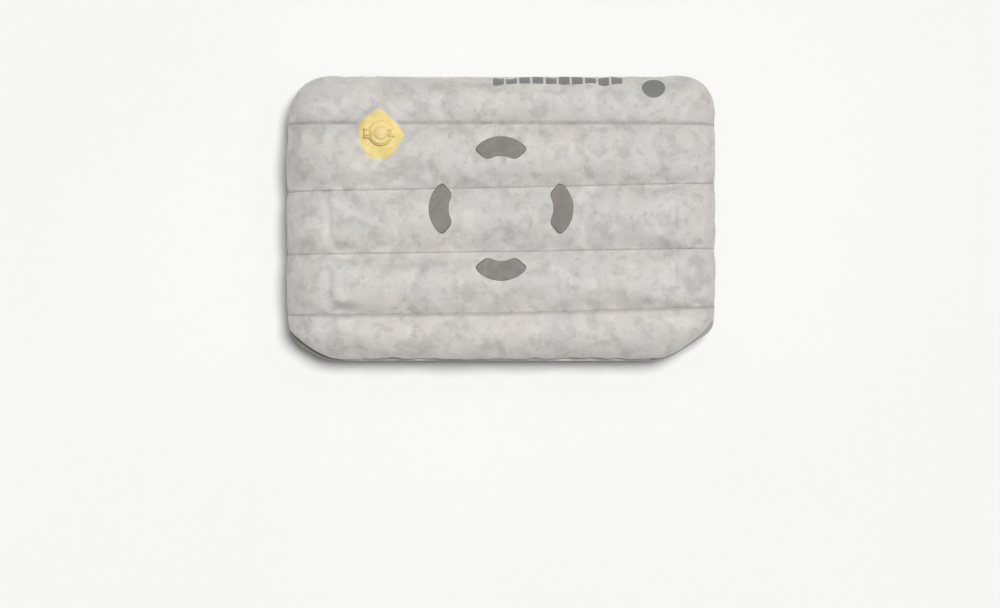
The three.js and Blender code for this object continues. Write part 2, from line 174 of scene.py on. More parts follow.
def cornered(a, b, s, t):
    """A quarter disc's point moved out: the corners are a little squarer than round."""
    share = BACK_RIGHT_SQUARENESS if s > 0 and t > 0 else SQUARENESS
    square = 1 + share * (2 * a * b / max(a * a + b * b, TINY)) ** 2
    return a * square, b * square


def wall_profile(share):
    """Plan share and height share of the body's wall at a share of the way down it."""
    turn = share * math.pi / 2
    height = math.cos(turn) ** (2 / SIDE_POWER)
    plan = math.sin(turn) ** (2 / SIDE_POWER) + BULGE * math.sin(math.pi * height**BULGE_POWER)
    return plan, height


def past_chamfer(x, y):
    """How far a plan point lies outside the chamfer of its front corner."""
    return abs(x) * CHAMFER_NORMAL.x + y * CHAMFER_NORMAL.y - CHAMFER + math.copysign(CHAMFER_SKEW, x)


def chamfered(x, y, reach=0.0):
    """A plan point pulled in to within a reach past its front corner's chamfer."""
    depth = past_chamfer(x, y) - reach
    pull = CHAMFER_SOFT * math.log1p(math.exp(depth / CHAMFER_SOFT))
    return x - math.copysign(CHAMFER_NORMAL.x * pull, x), y - CHAMFER_NORMAL.y * pull


def weld_lines(x):
    """The y of the four weld lines at an x, with their slight wander."""
    along = (x + HALF_X) / (2 * HALF_X)
    return [y0 + MM * float(np.interp(along, (0, 0.5, 1), w)) for y0, w in zip(WELD_Y, WELD_WANDER)]


def wandered(x, y):
    """A plan point's y moved with the weld lines' wander."""
    return float(np.interp(y, [-HALF_Y, *WELD_Y, HALF_Y], [-HALF_Y, *weld_lines(x), HALF_Y]))


def dip(y):
    """Share of the height that a weld line takes away at a nominal y."""
    if abs(y) > WELD_Y[-1]:
        left = max(0.0, 1 - (abs(y) - WELD_Y[-1]) / DIP_RUN)
        return WELD_DIP * left**DIP_POWER
    across = abs(y / CHANNEL - round(y / CHANNEL)) * 2
    return WELD_DIP * across**DIP_POWER


def from_valve(x, y):
    """Plan distance from the valve's axis."""
    return math.hypot(x - VALVE.x, y - VALVE.y)


def off_seat(x, y):
    """0 on the valve's flat, rising to 1 where the fabric is free of it."""
    return smooth((from_valve(x, y) - SEAT_FLAT) / (SEAT_BLEND - SEAT_FLAT))


def seated(x, y, z):
    """The upper surface's height, with the valve's flat."""
    return SEAT_Z + (z - SEAT_Z) * off_seat(x, y)


def start_shape():
    """The upper and lower surfaces before inflation, as grids of points."""
    upper, lower = np.zeros((NX, NY, 3)), np.zeros((NX, NY, 3))
    crown = TOP_Z - CROWN_START - SEAM_Z
    for i, (core_x, s) in enumerate(COLUMNS):
        for j, (core_y, t) in enumerate(ROWS):
            a, b = corner_share(abs(s), abs(t))
            reach = math.hypot(a, b)
            plan, height = (1.0, 0.0) if on_seam(i, j) else wall_profile(min(reach, 1.0))
            scale = plan / reach if reach > 0 else 0
            a, b = cornered(a * scale, b * scale, s, t)
            x = core_x + math.copysign(a * RIM_X, s)
            nominal_y = core_y + math.copysign(b * rim_depth(t), t)
            x, y = chamfered(x, nominal_y)
            y = wandered(x, y)
            lift = height * (1 - dip(nominal_y))
            upper[i, j] = (x, y, SEAM_Z if on_seam(i, j) else seated(x, y, SEAM_Z + crown * lift))
            lower[i, j] = (x, y, SEAM_Z - SEAM_Z * lift)
    return upper, lower


def new_object(name, vertices, faces):
    """A mesh object made of these vertices and faces, in the scene."""
    mesh = bpy.data.meshes.new(name)
    mesh.from_pydata([tuple(map(float, v)) for v in vertices], [], faces)
    mesh.validate()
    mesh.update()
    made = bpy.data.objects.new(name, mesh)
    bpy.context.scene.collection.objects.link(made)
    return made


@contextmanager
def edited(made):
    """The object's mesh as a bmesh, which is written back at the end."""
    work = bmesh.new()
    work.from_mesh(made.data)
    yield work
    work.to_mesh(made.data)
    work.free()


# ---- Inflation by cloth simulation ----

SIM_FRAMES = 12
MOVE_CAP = 8 * MM
REST_GAP = 0.05 * MM  # the underside stops this far over the ground
CLOTH = dict(
    quality=6,
    mass=0.1,
    tension_stiffness=20,
    compression_stiffness=20,
    shear_stiffness=5,
    bending_stiffness=0.3,
    tension_damping=10,
    compression_damping=10,
    shear_damping=10,
    bending_damping=0.5,
    air_damping=2.0,
    use_pressure=True,
    uniform_pressure_force=8.0,
    shrink_min=-0.038,  # the fabric is 3.8 % larger than the start shape, so it swells and puckers
)


def cloth_surface(upper, lower):
    """Both surfaces as one closed mesh that shares its seam, and the vertex numbers of each."""
    upper_numbers = np.arange(NX * NY).reshape(NX, NY)
    lower_numbers = upper_numbers.copy()
    inside = [(i, j) for i in range(NX) for j in range(NY) if not on_seam(i, j)]
    for count, (i, j) in enumerate(inside):
        lower_numbers[i, j] = NX * NY + count
    vertices = np.vstack([upper.reshape(-1, 3), np.array([lower[i, j] for i, j in inside])])
    faces = grid_faces(upper_numbers) + grid_faces(lower_numbers, flipped=True)
    return vertices, faces, upper_numbers, lower_numbers


def held_vertices(upper, upper_numbers, lower_numbers):
    """The vertices that can't move: the seam, the weld lines and, above, the valve's disc."""
    held = []
    for i, j in np.ndindex(NX, NY):
        x, y = upper[i, j][:2]
        welded = on_seam(i, j) or (j in WELD_ROWS and abs(x) < WELD_END)
        if welded or from_valve(x, y) < SEAT_FLAT:
            held.append(int(upper_numbers[i, j]))
        if welded:
            held.append(int(lower_numbers[i, j]))
    return held


def inflate(upper, lower):
    """Both surfaces after the air has gone in. No point moves further than the cap."""
    vertices, faces, upper_numbers, lower_numbers = cloth_surface(upper, lower)
    cloth = new_object("inflation", vertices, faces)
    held = cloth.vertex_groups.new(name="held")
    held.add(held_vertices(upper, upper_numbers, lower_numbers), 1, "REPLACE")
    modifier = cloth.modifiers.new("Cloth", "CLOTH")
    for name, value in CLOTH.items():
        setattr(modifier.settings, name, value)
    modifier.settings.vertex_group_mass = held.name
    modifier.settings.effector_weights.gravity = 0
    modifier.collision_settings.use_collision = False
    modifier.point_cache.frame_end = SIM_FRAMES
    scene = bpy.context.scene
    for number in range(1, SIM_FRAMES + 1):
        scene.frame_set(number)
    settled = cloth.evaluated_get(bpy.context.evaluated_depsgraph_get()).to_mesh()
    after = np.zeros(len(settled.vertices) * 3, np.float32)
    settled.vertices.foreach_get("co", after)
    bpy.data.objects.remove(cloth)
    scene.frame_set(1)
    move = after.reshape(-1, 3).astype(float) - vertices
    length = np.linalg.norm(move, axis=1, keepdims=True)
    after = vertices + move * np.minimum(1, MOVE_CAP / np.maximum(length, TINY))
    return after[upper_numbers], after[lower_numbers]


# ---- The two fabric panels: over is 1 for the top one and -1 for the base ----

FABRIC = 0.6 * MM
FLANGE = 5 * MM
FLANGE_SPLIT = 0.05 * MM  # half the gap between the two welded panels
FLANGE_REACH = 5 * MM  # the base's flange shows this far past the front corners' chamfer
FLANGE_SKEW = 1.5 * MM  # the left one shows this much more, the right one this much less
TOP_FLANGE_SHARE = 0.15  # the top's flange is cut back there to a share of its width
CUT_START = 5 * MM  # the cut starts this far inside the chamfer
CUT_RUN = 6 * MM  # how long a cut takes to reach its full depth
FLANGE_ROWS = [0.3, 0.6, 0.85, 1]  # shares of the way out
RUFFLE = 0.9 * MM
RUFFLE_SIZE = 17 * MM
WELD_SHARPNESS = 0.5

# The fabric's small folds: their heights, their lengths along the axes, and where they begin and fade.
PUCKER = 0.25 * MM
END_PUCKER = 0.5 * MM  # added towards a weld line's ends
PUCKER_SIZE = (9 * MM, 30 * MM, 1)
GATHER = 1.3 * MM
GATHER_SIZE = (7 * MM, 7 * MM, 70 * MM)
SLACK = 0.5 * MM
SLACK_SIZE = (38 * MM, 30 * MM, 40 * MM)
RIDGE = 0.12 * MM
RIDGE_SIZE = (26 * MM, 19 * MM, 26 * MM)
RIDGE_SHARPNESS = 7
WELD_CLEAR, WELD_FADE = 2.5 * MM, 8 * MM
SEAM_CLEAR, SEAM_FADE = 3 * MM, 10 * MM
END_START, END_RUN = 0.6, 0.55  # shares of the weld lines' reach
FLANGE_CLEAR, FLANGE_EASE = 1.5 * MM, 4 * MM  # no folds this near to the seam's height
GROUND_EASE = 3 * MM  # nor on the ground


def flange_edge(i, j, over, seam):
    """The flange's outer plan point beside an edge place. The top's is cut back at the front corners."""
    core_x, s = COLUMNS[i]
    core_y, t = ROWS[j]
    a, b = cornered(*corner_share(abs(s), abs(t)), s, t)
    x = core_x + math.copysign(a * (RIM_X + FLANGE), s)
    y = core_y + math.copysign(b * (RIM_Y + FLANGE), t)
    cut = smooth((past_chamfer(x, y) + CUT_START) / CUT_RUN)
    x, y = chamfered(x, y, FLANGE_REACH - math.copysign(FLANGE_SKEW, x))
    if over < 0:
        return x, y
    left = 1 - (1 - TOP_FLANGE_SHARE) * cut
    return seam[0] + (x - seam[0]) * left, seam[1] + (y - seam[1]) * left


def waves(point, size, offset):
    """Smooth noise with waves of these sizes along the axes. The offset picks another pattern."""
    x, y, z = (value / length for value, length in zip(point, size))
    return noise.noise(Vector((x, y, z + offset)))


def crumple(point):
    """How far the small folds move a point of the fabric outwards."""
    x, y, z = point
    weld = min(abs(y - at) for at in weld_lines(x))
    by_weld = math.exp(-((weld / WELD_FADE) ** 2)) * smooth(weld / WELD_CLEAR)
    by_end = smooth((abs(x) / WELD_REACH - END_START) / END_RUN)
    from_seam = abs(z - SEAM_Z)
    by_seam = math.exp(-from_seam / SEAM_FADE) * smooth(from_seam / SEAM_CLEAR)
    ridge = 1 - abs(waves(point, RIDGE_SIZE, 11)) * RIDGE_SHARPNESS
    out = by_weld * waves((x, y, 0), PUCKER_SIZE, 3.1) * (PUCKER + END_PUCKER * by_end)
    out += by_seam * waves(point, GATHER_SIZE, 7) * GATHER
    out += waves(point, SLACK_SIZE, 0) * SLACK
    out += max(ridge, 0) * RIDGE
    return out


def shell(name, points, over):
    """One panel with its weld flange, from the inflated surface."""
    points = points.copy()
    face_z = SEAM_Z + over * (FLANGE_SPLIT + FABRIC)
    places = edge_loop(NX, NY)
    for place in places:
        points[place][2] = face_z
    numbers = np.arange(NX * NY).reshape(NX, NY)
    vertices = [tuple(p) for p in points.reshape(-1, 3)]
    faces = grid_faces(numbers, flipped=over < 0)
    ring = [int(numbers[place]) for place in places]
    seam = [points[place][:2] for place in places]
    edge = [flange_edge(i, j, over, points[i, j]) for i, j in places]
    for share in FLANGE_ROWS:
        start = len(vertices)
        for (inner_x, inner_y), (x, y) in zip(seam, edge):
            at = (inner_x + (x - inner_x) * share, inner_y + (y - inner_y) * share)
            ruffle = RUFFLE * noise.noise(Vector((*at, 0)) / RUFFLE_SIZE)
            vertices.append((*at, face_z + share * ruffle))
        outer = list(range(start, len(vertices)))
        for k in range(len(ring)):
            after = (k + 1) % len(ring)
            quad = [ring[k], outer[k], outer[after], ring[after]]
            faces.append(quad if over > 0 else quad[::-1])
        ring = outer
    made = new_object(name, vertices, faces)
    mark(made, numbers)
    rim = made.data.attributes.new("rim", "FLOAT", "POINT")
    for vertex in ring:
        rim.data[vertex].value = 1.0
    return made


def mark(made, numbers):
    """Sharp edges along the weld lines, and two point attributes for the fabric's colour.

    weld is 1 on a weld line, where painted shade darkens the print, and back_wall is the share of the way
    down the back wall."""
    mesh = made.data
    row_of = {int(numbers[i, j]): j for j in WELD_ROWS for i in range(NX)}
    creases = mesh.attributes.new("crease_edge", "FLOAT", "EDGE")
    for edge in mesh.edges:
        first, second = (row_of.get(v) for v in edge.vertices)
        if first is not None and first == second:
            creases.data[edge.index].value = WELD_SHARPNESS
    welds = mesh.attributes.new("weld", "FLOAT", "POINT")
    for vertex in row_of:
        welds.data[vertex].value = 1.0
    walls = mesh.attributes.new("back_wall", "FLOAT", "POINT")
    for j, (_, t) in enumerate(ROWS):
        for vertex in numbers[:, j]:
            walls.data[vertex].value = max(t, 0)


def applied(made, kind, **settings):
    """Gives the object one modifier and applies it."""
    modifier = made.modifiers.new(kind.title(), kind)
    for name, value in settings.items():
        setattr(modifier, name, value)
    graph = bpy.context.evaluated_depsgraph_get()
    mesh = bpy.data.meshes.new_from_object(made.evaluated_get(graph))
    made.modifiers.clear()
    old = made.data
    made.data = mesh
    mesh.name = made.name
    bpy.data.meshes.remove(old)


def crumpled(made, over):
    """The fabric's small folds, as moves along its normals. The valve's flat and the flange stay."""
    mesh = made.data
    normals = [v.normal.copy() for v in mesh.vertices]
    for vertex, normal in zip(mesh.vertices, normals):
        x, y, z = vertex.co
        free = smooth((abs(z - SEAM_Z) - FLANGE_CLEAR) / FLANGE_EASE)
        free *= off_seat(x, y) if over > 0 else smooth(z / GROUND_EASE)
        vertex.co += normal * crumple(vertex.co) * free
    mesh.update()
    return made


def with_barrel_hole(made):
    """The top panel with a round hole for the valve's barrel."""
    with edited(made) as work:
        near = [f for f in work.faces if (f.calc_center_median().xy - VALVE).length < FABRIC_HOLE]
        bmesh.ops.delete(work, geom=near, context="FACES")
        for vertex in work.verts:
            away = vertex.co.xy - VALVE
            if vertex.is_boundary and away.length < 2 * FABRIC_HOLE:
                vertex.co.xy = VALVE + away.normalized() * FABRIC_HOLE
    return made


def shade_smooth(made, sharp_from):
    """The object shaded smooth, apart from edges sharper than an angle in degrees."""
    made.data.shade_smooth()
    made.data.set_sharp_from_angle(angle=math.radians(sharp_from))
    return made


# ---- Node graphs ----


def srgb(*levels):
    """A colour from 0 to 255 as the shader wants it."""
    shares = [level / 255 for level in levels]
    return (*(s / 12.92 if s <= 0.04045 else ((s + 0.055) / 1.055) ** 2.4 for s in shares), 1.0)


class Graph:
    """A material's node graph, with short forms of the nodes used here."""

    def __init__(self, name, roughness, **shader):
        self.material = bpy.data.materials.new(name)
        self.material.use_nodes = True
        self.tree = self.material.node_tree
        self.shader = self.tree.nodes["Principled BSDF"]
        self.place = self.add("ShaderNodeTexCoord").outputs["Object"]
        self.set(self.shader, {"Roughness": roughness, **shader})

    def set(self, node, inputs):
        for key, value in inputs.items():
            socket = node.inputs[key]
            if isinstance(value, bpy.types.NodeSocket):
                self.tree.links.new(value, socket)
            else:
                socket.default_value = value

    def add(self, kind, inputs=None, **settings):
        node = self.tree.nodes.new(kind)
        for name, value in settings.items():
            setattr(node, name, value)
        self.set(node, inputs or {})
        return node

    def noise(self, size, detail=2.0, roughness=0.5, distortion=0.0, stretch=None):
        """Noise from 0 to 1 with features of about that size, in metres."""
        place = self.place
        if stretch:
            place = self.add("ShaderNodeMapping", {"Vector": place, "Scale": stretch}).outputs[0]
        inputs = {"Vector": place, "Scale": 1 / size, "Detail": detail}
        inputs |= {"Roughness": roughness, "Distortion": distortion}
        return self.add("ShaderNodeTexNoise", inputs).outputs["Fac"]

    def math(self, operation, a, b=0.0):
        return self.add("ShaderNodeMath", {0: a, 1: b}, operation=operation).outputs[0]

    def ramp(self, value, low, high, to_low=0.0, to_high=1.0):
        """value, eased from to_low at low to to_high at high."""
        inputs = {0: value, 1: low, 2: high, 3: to_low, 4: to_high}
        return self.add("ShaderNodeMapRange", inputs, interpolation_type="SMOOTHSTEP").outputs[0]

    def mix(self, share, a, b, blend="MIX"):
        inputs = {0: share, 6: a, 7: b}
        return self.add("ShaderNodeMix", inputs, data_type="RGBA", blend_type=blend).outputs[2]

    def bump(self, height, distance, strength=1.0, normal=None):
        inputs = {"Height": height, "Distance": distance, "Strength": strength}
        if normal is not None:
            inputs["Normal"] = normal
        return self.add("ShaderNodeBump", inputs).outputs[0]

    def attribute(self, name):
        """A point attribute of the mesh."""
        return self.add("ShaderNodeAttribute", attribute_name=name).outputs["Fac"]

    def axis(self, name):
        return self.add("ShaderNodeSeparateXYZ", {0: self.place}).outputs[name]

    def weave(self, pitch):
        """A plain weave's height: threads over and under along X and Y."""
        turns = 2 * math.pi / pitch
        across, along = (self.math("SINE", self.math("MULTIPLY", self.axis(a), turns)) for a in "XY")
        return self.math("MULTIPLY", across, along)

    def finish(self, colour, normal):
        self.set(self.shader, {"Base Color": colour, "Normal": normal})
        return self.material


# ---- Materials ----

WEAVE = 0.7 * MM
FOAM_CELL = 1.6 * MM
PRINT_LIGHT = 210  # the printed fabric's lightness, from 0 to 255
MARK_GREY = srgb(128, 128, 126)

# The marks on the back edge: ranges of x, and of the share of the way down the back wall.
BLOCKS_X = (-9 * MM, 119 * MM)
BLOCKS_WALL = (0.55, 0.76)
BLOCK_PITCH = 12.8 * MM
BLOCK_GAP = (1.0 * MM, 1.3 * MM)  # half the gap between blocks, where its soft edge starts and ends
RULE_X = (-84 * MM, -24 * MM)
RULE_WALL = (0.82, 0.855)
RULE_STRENGTH = 0.6
WALL_SOFT = 0.004
DISC_CENTRE = (148 * MM, 128 * MM, 90 * MM)
DISC_EDGE = (11.5 * MM, 12 * MM)

# The print's blotches: colour, strength, Graph.noise's settings, and where one begins and is full.
BLOTCHES = [
    (srgb(176, 174, 169), 0.52, (19 * MM, 7, 0.66, 0.25), (0.47, 0.63)),
    (srgb(228, 224, 217), 0.5, (24 * MM, 6, 0.64, 0.3, (1, 1.3, 1)), (0.5, 0.64)),
    (srgb(164, 162, 158), 0.4, (6.5 * MM, 4, 0.6, 0.3), (0.6, 0.7)),
]


def fabric_relief(graph, crinkle):
    """The coated fabric's normal: its weave, a fine grain and soft slack waves."""
    weave = graph.bump(graph.weave(WEAVE), 0.035 * MM, 0.6)
    grain = graph.bump(graph.noise(2.2 * MM, 2, 0.6), 0.1 * MM * crinkle, 0.5, weave)
    return graph.bump(graph.noise(21 * MM, 3, 0.55, 0.3), 1.6 * MM * crinkle, 0.4, grain)


def inside(graph, value, low, high, soft=0.25 * MM):
    """1 where value lies between low and high."""
    above = graph.ramp(value, low - soft, low + soft)
    below = graph.ramp(value, high - soft, high + soft, 1, 0)
    return graph.math("MULTIPLY", above, below)


def back_edge_print(graph):
    """1 on the plain blocks, the thin rule and the disc that are printed on the back edge."""
    x, wall = graph.axis("X"), graph.attribute("back_wall")
    row = graph.math("MULTIPLY", inside(graph, x, *BLOCKS_X), inside(graph, wall, *BLOCKS_WALL, WALL_SOFT))
    from_gap = graph.math("PINGPONG", graph.math("SUBTRACT", x, BLOCKS_X[0]), BLOCK_PITCH / 2)
    row = graph.math("MULTIPLY", row, graph.ramp(from_gap, *BLOCK_GAP))
    rule = graph.math("MULTIPLY", inside(graph, x, *RULE_X), inside(graph, wall, *RULE_WALL, WALL_SOFT))
    rule = graph.math("MULTIPLY", rule, RULE_STRENGTH)
    from_disc = graph.add("ShaderNodeVectorMath", {0: graph.place, 1: DISC_CENTRE}, operation="DISTANCE")
    disc = graph.ramp(from_disc.outputs["Value"], *DISC_EDGE, 1, 0)
    return graph.math("MAXIMUM", graph.math("MAXIMUM", row, rule), disc)


def mottled(graph):
    """The print: a slight warm and cool drift, blotches with worn edges, and painted shade along the weld
    lines' creases.
    """
    light = PRINT_LIGHT
    warm, cool = srgb(light + 3, light - 1, light - 8), srgb(light - 2, light - 3, light - 7)
    colour = graph.mix(graph.ramp(graph.noise(62 * MM, 2, 0.5, 0.3), 0.36, 0.64), cool, warm)
    for tone, strength, pattern, levels in BLOTCHES:
        share = graph.ramp(graph.noise(*pattern), *levels)
        colour = graph.mix(graph.math("MULTIPLY", share, strength), colour, tone)
    # painted shade: the print is darkened to grey along each weld line, where shade falls in its crease
    weld = graph.ramp(graph.attribute("weld"), 0.15, 1.0, 0, 0.65)
    return graph.mix(weld, colour, srgb(150, 149, 145))


def printed_fabric():
    """The upper panel: coated cloth with a mottled print and the marks on its back edge."""
    graph = Graph("printed_fabric", 0.62, **{"Sheen Weight": 0.15, "Sheen Roughness": 0.5})
    colour = graph.mix(back_edge_print(graph), mottled(graph), MARK_GREY)
    return graph.finish(colour, fabric_relief(graph, 1.0))


def base_fabric():
    """The lower panel: plain darker cloth, pale along the cut rim of its flange."""
    graph = Graph("base_fabric", 0.68, **{"Sheen Weight": 0.1})
    tone = graph.ramp(graph.noise(40 * MM, 4, 0.6, 0.3), 0.3, 0.7)
    colour = graph.mix(tone, srgb(148, 149, 145), srgb(160, 160, 156))
    colour = graph.mix(0.12, colour, graph.noise(1.8 * MM, 3, 0.7), "OVERLAY")
    colour = graph.mix(graph.ramp(graph.attribute("rim"), 0.3, 0.9), colour, srgb(206, 204, 199))
    return graph.finish(colour, fabric_relief(graph, 0.8))


def foam():
    """Open-celled cream foam: pale walls round hollows, with painted shade darkening the hollows."""
    graph = Graph("foam", 0.95, **{"Specular IOR Level": 0.2})
    inputs = {"Vector": graph.place, "Scale": 1 / FOAM_CELL}
    from_wall = graph.add("ShaderNodeTexVoronoi", inputs, feature="DISTANCE_TO_EDGE").outputs["Distance"]
    # painted shade: the cell hollows are darkened where shade falls into them, and the same mask sinks them
    # in the bump
    hollow_depth_and_shade = graph.ramp(from_wall, 0.02, 0.14)
    wall = graph.mix(graph.noise(30 * MM, 3), srgb(238, 232, 214), srgb(226, 219, 198))
    colour = graph.mix(hollow_depth_and_shade, wall, srgb(178, 170, 146))
    return graph.finish(colour, graph.bump(hollow_depth_and_shade, -0.3 * MM, 0.8))


def baffle_film():
    """The webs: the same cloth, unprinted and nearly white."""
    graph = Graph("baffle_film", 0.7)
    colour = graph.mix(graph.noise(14 * MM, 4, 0.6), srgb(226, 224, 218), srgb(212, 210, 204))
    return graph.finish(colour, fabric_relief(graph, 0.7))


def patch_film():
    """The patches' welded backing: a dark film with a fine grain."""
    graph = Graph("patch_film", 0.55)
    colour = graph.mix(graph.noise(9 * MM, 4, 0.6), srgb(112, 109, 104), srgb(124, 121, 116))
    return graph.finish(colour, graph.bump(graph.noise(1.1 * MM, 3), 0.08 * MM, 0.5))


def patch_pile():
    """The patches' looped pile: matt grey yarn with a broken tone."""
    graph = Graph("patch_pile", 0.92, **{"Sheen Weight": 0.25, "Sheen Roughness": 0.6})
    tone = graph.ramp(graph.noise(11 * MM, 4, 0.6, 0.4), 0.3, 0.7)
    colour = graph.mix(tone, srgb(141, 138, 132), srgb(154, 150, 144))
    colour = graph.mix(0.25, colour, graph.noise(0.9 * MM, 3, 0.7), "OVERLAY")
    return graph.finish(colour, graph.bump(graph.noise(0.8 * MM, 3, 0.6), 0.15 * MM, 0.6))


def valve_film():
    """Yellow welded film that fades into the print along a cloudy edge."""
    graph = Graph("valve_film", 0.5)
    cloud = graph.math("MULTIPLY", graph.math("SUBTRACT", graph.noise(5 * MM, 3, 0.6), 0.5), 0.3)
    fade = graph.ramp(graph.math("ADD", graph.attribute("edge"), cloud), 0.72, 0.97)
    tone = graph.ramp(graph.noise(12 * MM, 5, 0.62, 0.6), 0.36, 0.68)
    yellow = graph.mix(tone, srgb(242, 220, 140), srgb(229, 205, 123))
    return graph.finish(graph.mix(fade, yellow, mottled(graph)), fabric_relief(graph, 0.8))


def moulded(name, light, dark, roughness):
    """A satin moulded polymer: slight flow marks in its tone and a fine eroded skin."""
    graph = Graph(name, roughness, **{"Subsurface Weight": 0.08, "Subsurface Scale": 1.5 * MM})
    flow = graph.ramp(graph.noise(9 * MM, 3, 0.5, 1.2, (1, 0.4, 1)), 0.3, 0.7)
    colour = graph.mix(flow, dark, light)
    rough = graph.ramp(graph.noise(4 * MM, 3), 0.3, 0.7, roughness - 0.06, roughness + 0.06)
    graph.set(graph.shader, {"Roughness": rough})
    return graph.finish(colour, graph.bump(graph.noise(0.35 * MM, 2), 0.02 * MM, 0.5))


MATERIALS = {
    "printed_fabric": printed_fabric(),
    "base_fabric": base_fabric(),
    "foam": foam(),
    "baffle_film": baffle_film(),
    "patch_film": patch_film(),
    "patch_pile": patch_pile(),
    "valve_film": valve_film(),
    "valve_body": moulded("valve_body", srgb(233, 208, 132), srgb(226, 199, 120), 0.45),
    "valve_lid": moulded("valve_lid", srgb(238, 215, 140), srgb(231, 206, 128), 0.48),
    "silicone": moulded("silicone", srgb(222, 220, 214), srgb(206, 204, 198), 0.35),
    "pin": moulded("pin", srgb(146, 148, 150), srgb(132, 134, 137), 0.3),
}


# ---- Pieces that lie on the fabric ----

RAY_START = 0.2  # a height well over the pillow
BEND_STEPS = 8


def dress(made, slot, node):
    """A finished piece: its material, that it rides on the pillow, and the CAD node it stands for hidden.
    """
    made.data.materials.append(MATERIALS[slot])
    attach(made, "pillow")
    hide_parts(node)


class Ground:
    """The finished top panel, for laying other pieces on it."""

    def __init__(self, made):
        mesh = made.data
        self.tree = BVHTree.FromPolygons([v.co for v in mesh.vertices], [p.vertices for p in mesh.polygons])

    def height(self, x, y):
        """The panel's height at a plan point. Where a ray slips between two faces, it is the seat's."""
        hit = self.tree.ray_cast(Vector((x, y, RAY_START)), Vector((0, 0, -1)))[0]
        return hit.z if hit else SEAT_Z


def layer(name, ground, outline, core, shares, thickness, lift, open_core=False):
    """A closed layer lying on the fabric, in rings from its outline (share 1) to its core (share 0).

    thickness(share) is its height over the lift. Its point attribute edge holds each ring's share."""
    count, rings = len(outline), len(shares)
    vertices, edge = [], []
    for top in (True, False):
        for share in shares:
            for rim, middle in zip(outline, core):
                at = middle.lerp(rim, share)
                z = ground.height(at.x, at.y) + lift + (thickness(share) if top else 0)
                vertices.append((at.x, at.y, z))
                edge.append(share)
    faces = []

    def band(first, second):
        for k in range(count):
            after = (k + 1) % count
            faces.append([first + k, second + k, second + after, first + after])

    for ring in range(rings - 1):
        band((ring + 1) * count, ring * count)
        band((rings + ring) * count, (rings + ring + 1) * count)
    band(0, rings * count)
    if open_core:
        band((2 * rings - 1) * count, (rings - 1) * count)
    made = new_object(name, vertices, faces)
    attribute = made.data.attributes.new("edge", "FLOAT", "POINT")
    attribute.data.foreach_set("value", edge)
    if not open_core:
        with edited(made) as work:
            work.verts.ensure_lookup_table()
            for ring in [work.verts[n * count:(n + 1) * count] for n in (rings - 1, 2 * rings - 1)]:
                bmesh.ops.remove_doubles(work, verts=ring, dist=MERGE)
    return shade_smooth(made, sharp_from=50)


def bend(start, control, end):
    """Points of a quadratic curve, without its last point."""
    shares = [k / BEND_STEPS for k in range(BEND_STEPS)]
    return [start.lerp(control, share).lerp(control.lerp(end, share), share) for share in shares]


# ---- Grip patches ----

PATCH_WIDTH = 52.5 * MM  # before the tips are rounded
PATCH_INNER_WIDTH = 27.5 * MM
PATCH_HEIGHT = 23.6 * MM
PATCH_OUTER = 33 * MM  # radii of the outer and the inner arc
PATCH_INNER = 24 * MM
TIP_START, HEEL_START = 0.24, 0.68  # where an end's corners begin to round, from its tip to its heel
TIP_ARC, HEEL_ARC = 0.84, 0.6  # where the arcs begin, as shares of the half widths
OUTER_STEPS, INNER_STEPS = 16, 12
HALF_POINTS = 44
CORE_INSET = 9  # the core curve stops this many points short of a patch's ends
BACKING = 0.6 * MM
BACKING_LIFT = 0.12 * MM
PILE = 0.4 * MM
PILE_LIFT = BACKING + 0.17 * MM
PILE_SHARE = 0.95  # the pile's size as a share of its backing's
LOOPS_SHARE = 0.93  # the size of the field of loops on it
RIM_LEAST = 0.1 * MM
RING_SHARES = [1, 0.99, 0.975, 0.95, 0.91, 0.84, 0.74, 0.62, 0.48, 0.33, 0.16, 0]

LOOP_PITCH = 0.9 * MM
LOOP_ROW = LOOP_PITCH * 0.866  # rows of a triangular grid
LOOP_JITTER = 0.2 * MM
LOOP_RADIUS = 0.33 * MM
YARN = 0.11 * MM
LOOP_STEPS = 4


def spaced(points, count):
    """Points at equal distances along a polyline."""
    lengths = [0.0]
    for a, b in zip(points, points[1:]):
        lengths.append(lengths[-1] + (b - a).length)
    at = np.linspace(0, lengths[-1], count)
    xs = np.interp(at, lengths, [p.x for p in points])
    ys = np.interp(at, lengths, [p.y for p in points])
    return [Vector((x, y)) for x, y in zip(xs, ys)]


